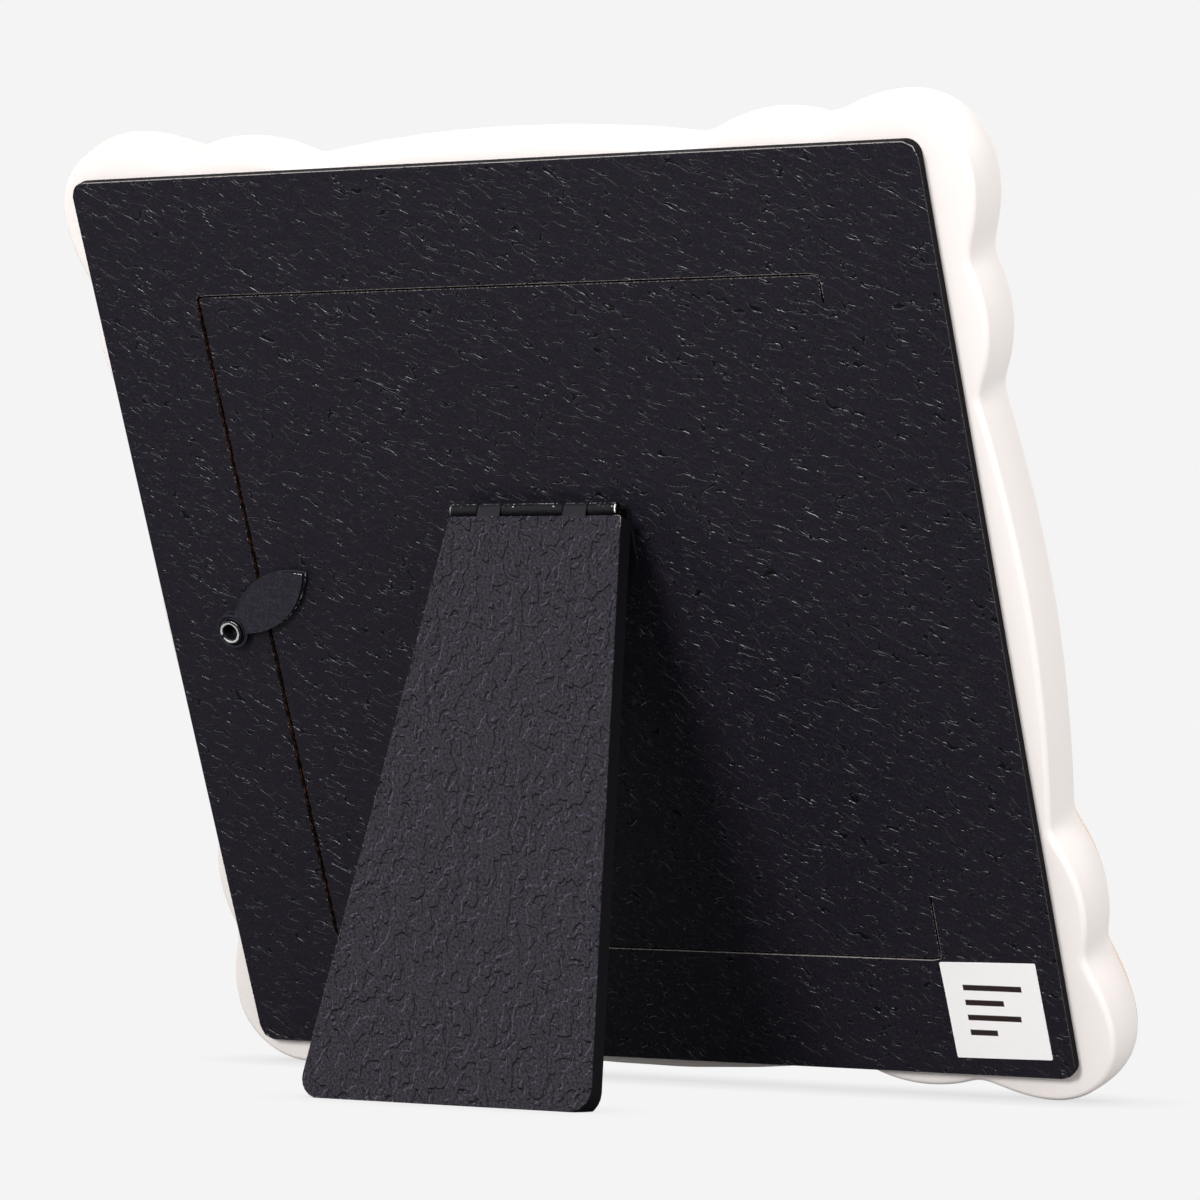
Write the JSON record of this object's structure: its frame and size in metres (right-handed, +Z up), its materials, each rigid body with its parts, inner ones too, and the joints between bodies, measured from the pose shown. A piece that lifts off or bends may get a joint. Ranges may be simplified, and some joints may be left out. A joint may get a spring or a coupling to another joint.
{
  "type": "standing photo frame",
  "caption": "Square standing photo frame with a scalloped cast moulding, embossed black back with a hinged door, turn button and folding strut.",
  "frame": {"origin": "bottom centre of the standing frame's box, on the table", "axes": "+X to the right seen from the front, -Y towards the viewer of the print, +Z up; the frame leans back towards +Y"},
  "size_m": [0.1548, 0.0752, 0.1425],
  "materials": {
    "cast_ceramic": "matt off-white bisque behind, apricot glaze in front",
    "clear_glass": "clear float glass",
    "print_paper": "blank satin print paper",
    "grey_card": "uncoated grey card",
    "pressed_board": "pressed board, edges painted black",
    "black_paper": "black paper embossed with a leather grain",
    "white_label": "blank matt paper label",
    "worn_black_metal": "black, worn to bright metal on the rolled lip",
    "black_metal": "matt black stove enamel"
  },
  "bodies": {
    "frame": {"moulding": "cast_ceramic", "glass_pane": "clear_glass", "photo_print": "print_paper", "filler_card": "grey_card", "back_board": "pressed_board", "back_cover": "black_paper", "label": "white_label", "button_rivet": "worn_black_metal"},
    "door": {"door_board": "pressed_board", "door_cover": "black_paper", "hinge_fixed_leaf": "black_metal", "hinge_pin": "worn_black_metal", "hinge_rivets": "black_metal"},
    "strut": {"hinge_moving_leaf": "black_metal", "strut_rivets": "black_metal", "strut_board": "pressed_board", "strut_cover": "black_paper"},
    "button": {"turn_button": "black_metal"}
  },
  "joints": [
    {"name": "door_swing", "type": "hinge", "parent": "frame", "child": "door", "pos_m": [-0.0513, 0.00259, 0.06878], "axis": [0, 0.3898, 0.9209], "range_deg": [0, 110]},
    {"name": "strut_swing", "type": "hinge", "parent": "door", "child": "strut", "pos_m": [0.0005, 0.01262, 0.08522], "axis": [1, 0, 0], "range_deg": [-37.5, 0]},
    {"name": "button_turn", "type": "hinge", "parent": "frame", "child": "button", "pos_m": [0.0597, 0.00232, 0.06814], "axis": [0, 0.9209, -0.3898], "continuous": true}
  ]
}
